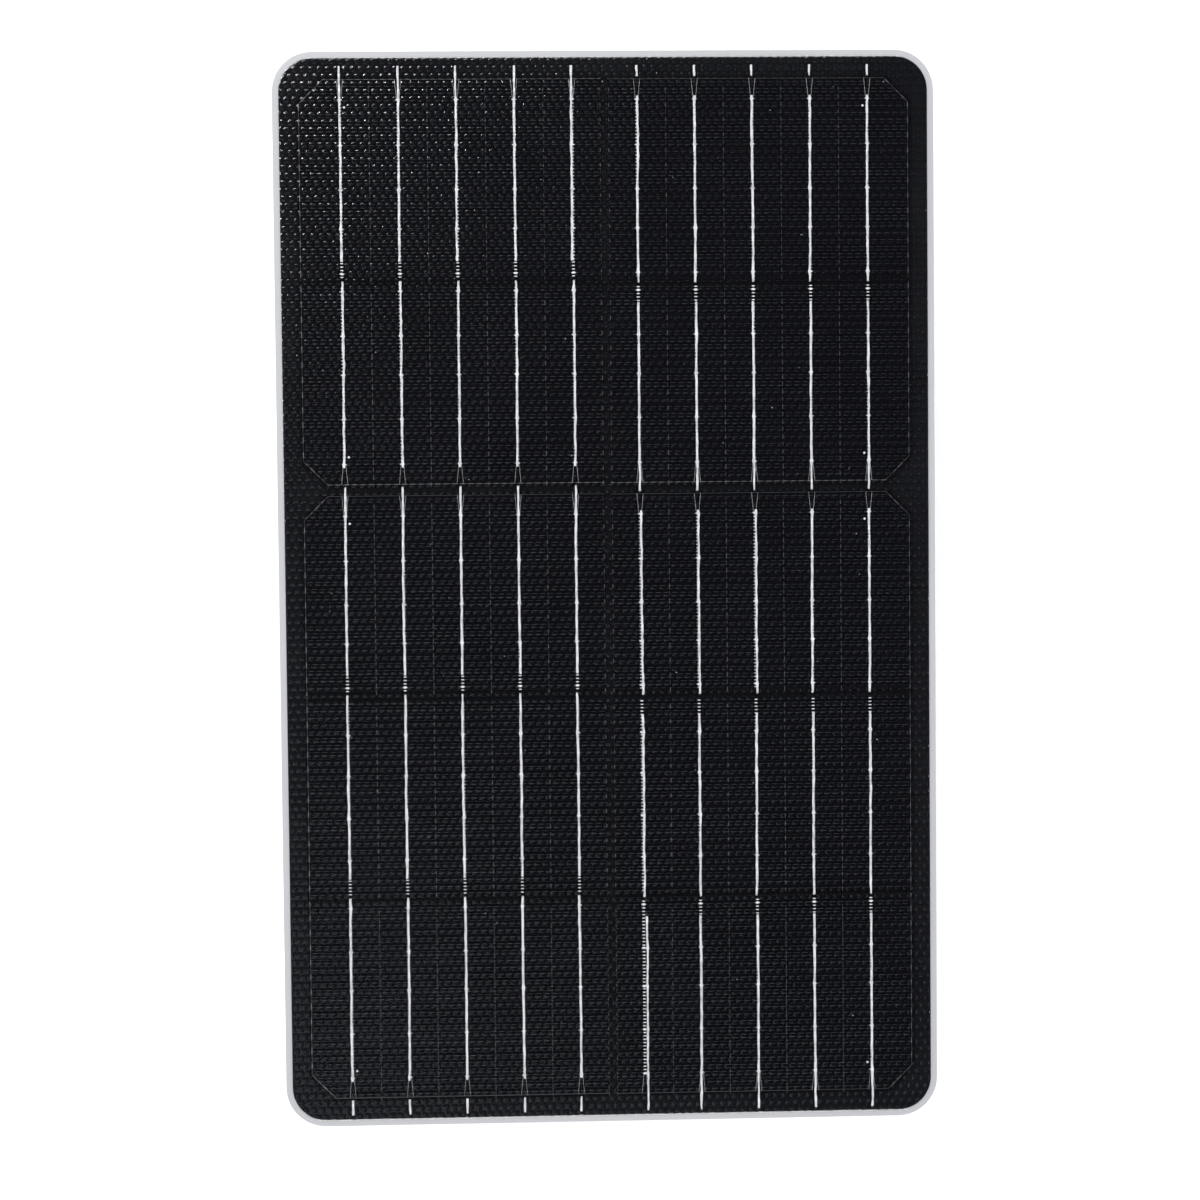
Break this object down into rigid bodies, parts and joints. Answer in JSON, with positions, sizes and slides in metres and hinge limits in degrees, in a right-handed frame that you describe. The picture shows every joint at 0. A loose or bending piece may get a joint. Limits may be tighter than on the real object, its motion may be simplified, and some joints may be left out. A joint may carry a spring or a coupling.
{
  "type": "flexible solar sheet",
  "caption": "Flexible solar sheet: two columns of cut silicon cells under embossed clear film on a thin white board, with a flat junction box and cable gland on the back.",
  "frame": {"origin": "centre of the backing board's rear face", "axes": "+X across the sheet, +Y along the sheet towards the junction box end, +Z out of the sunny front face"},
  "size_m": [0.1984, 0.3236, 0.0166],
  "materials": {
    "clear_cover": "gloss",
    "clear_film": "satin",
    "silicon": "satin",
    "tinned_copper": "satin",
    "copper": "satin",
    "black_sheet": "satin",
    "white_board": "satin",
    "black_plastic": "satin",
    "rubber": "matte",
    "foam_tape": "matte",
    "brass": "satin",
    "steel": "satin",
    "epoxy": "satin"
  },
  "bodies": {
    "row_1": {"cell_a1": "silicon", "cell_b1": "silicon", "ribbons_b1_b2": "tinned_copper", "bus_negative": "tinned_copper", "bus_positive": "tinned_copper", "lead_negative": "copper", "lead_positive": "copper", "jbox_adhesive_pad": "foam_tape", "jbox_base": "black_plastic", "jbox_lid_seal": "rubber", "jbox_lid": "black_plastic", "lid_screw_1": "steel", "lid_screw_2": "steel", "lid_screw_3": "steel", "lid_screw_4": "steel", "terminal_negative": "brass", "terminal_positive": "brass", "terminal_screw_negative": "steel", "terminal_screw_positive": "steel", "bypass_diode": "epoxy", "gland_body": "black_plastic", "gland_washer": "rubber", "gland_locknut": "black_plastic", "gland_seal": "rubber", "gland_nut": "black_plastic"},
    "row_2": {"cell_a2": "silicon", "cell_b2": "silicon", "ribbons_a1_a2": "tinned_copper", "ribbons_b2_b3": "tinned_copper"},
    "row_3": {"cell_a3": "silicon", "cell_b3": "silicon", "ribbons_a2_a3": "tinned_copper", "ribbons_b3_b4": "tinned_copper", "front_cover_film": "clear_cover", "front_encapsulant": "clear_film", "rear_encapsulant": "clear_film", "black_backsheet": "black_sheet", "bonding_layer": "clear_film", "backing_board": "white_board"},
    "row_4": {"cell_a4": "silicon", "cell_b4": "silicon", "ribbons_a3_a4": "tinned_copper", "ribbons_b4_b5": "tinned_copper"},
    "row_5": {"cell_a5": "silicon", "cell_b5": "silicon", "ribbons_a4_a5": "tinned_copper", "bus_bottom": "tinned_copper"}
  },
  "joints": [
    {"name": "flex_2_3", "type": "hinge", "parent": "row_3", "child": "row_2", "pos_m": [0, 0.03078, 0.0015], "axis": [1, 0, 0], "range_deg": [-5, 5], "stiffness_Nm_per_rad": 3, "deforming": ["front_cover_film", "front_encapsulant", "rear_encapsulant", "black_backsheet", "bonding_layer", "backing_board", "ribbons_a2_a3", "ribbons_b2_b3"]},
    {"name": "flex_1_2", "type": "hinge", "parent": "row_2", "child": "row_1", "pos_m": [0, 0.09285, 0.0015], "axis": [1, 0, 0], "range_deg": [-5, 5], "stiffness_Nm_per_rad": 3, "deforming": ["front_cover_film", "front_encapsulant", "rear_encapsulant", "black_backsheet", "bonding_layer", "backing_board", "ribbons_a1_a2", "ribbons_b1_b2"]},
    {"name": "flex_3_4", "type": "hinge", "parent": "row_3", "child": "row_4", "pos_m": [0, -0.03128, 0.0015], "axis": [-1, 0, 0], "range_deg": [-5, 5], "stiffness_Nm_per_rad": 3, "deforming": ["front_cover_film", "front_encapsulant", "rear_encapsulant", "black_backsheet", "bonding_layer", "backing_board", "ribbons_a3_a4", "ribbons_b3_b4"]},
    {"name": "flex_4_5", "type": "hinge", "parent": "row_4", "child": "row_5", "pos_m": [0, -0.09285, 0.0015], "axis": [-1, 0, 0], "range_deg": [-5, 5], "stiffness_Nm_per_rad": 3, "deforming": ["front_cover_film", "front_encapsulant", "rear_encapsulant", "black_backsheet", "bonding_layer", "backing_board", "ribbons_a4_a5", "ribbons_b4_b5"]}
  ]
}
